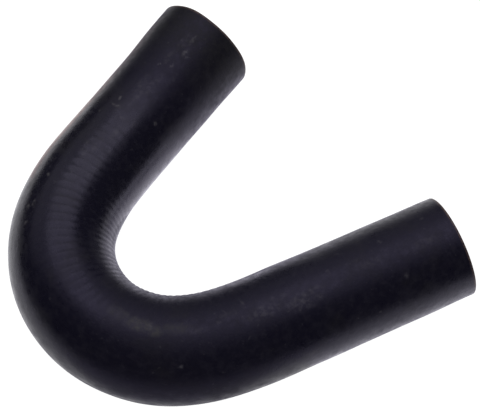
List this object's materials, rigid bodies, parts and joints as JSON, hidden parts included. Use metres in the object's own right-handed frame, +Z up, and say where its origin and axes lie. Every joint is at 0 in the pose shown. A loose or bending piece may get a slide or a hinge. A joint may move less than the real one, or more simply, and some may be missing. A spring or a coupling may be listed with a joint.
{
  "type": "moulded heater hose",
  "caption": "Black rubber hose moulded with a tight bend between a short and a long straight leg, open at both square-cut ends.",
  "frame": {"origin": "on the floor, under the middle of the box round the hose as it lies on its side", "axes": "+X along the line midway between the two legs, from the bend towards both mouths; +Y from the long leg towards the short leg; +Z up"},
  "size_m": [0.0898, 0.1016, 0.0252],
  "materials": {
    "black_rubber": "satin black cured rubber cover with faint ribs of the yarn beneath, and matt cut ends"
  },
  "bodies": {
    "root": {"hose": "black_rubber"}
  },
  "joints": []
}
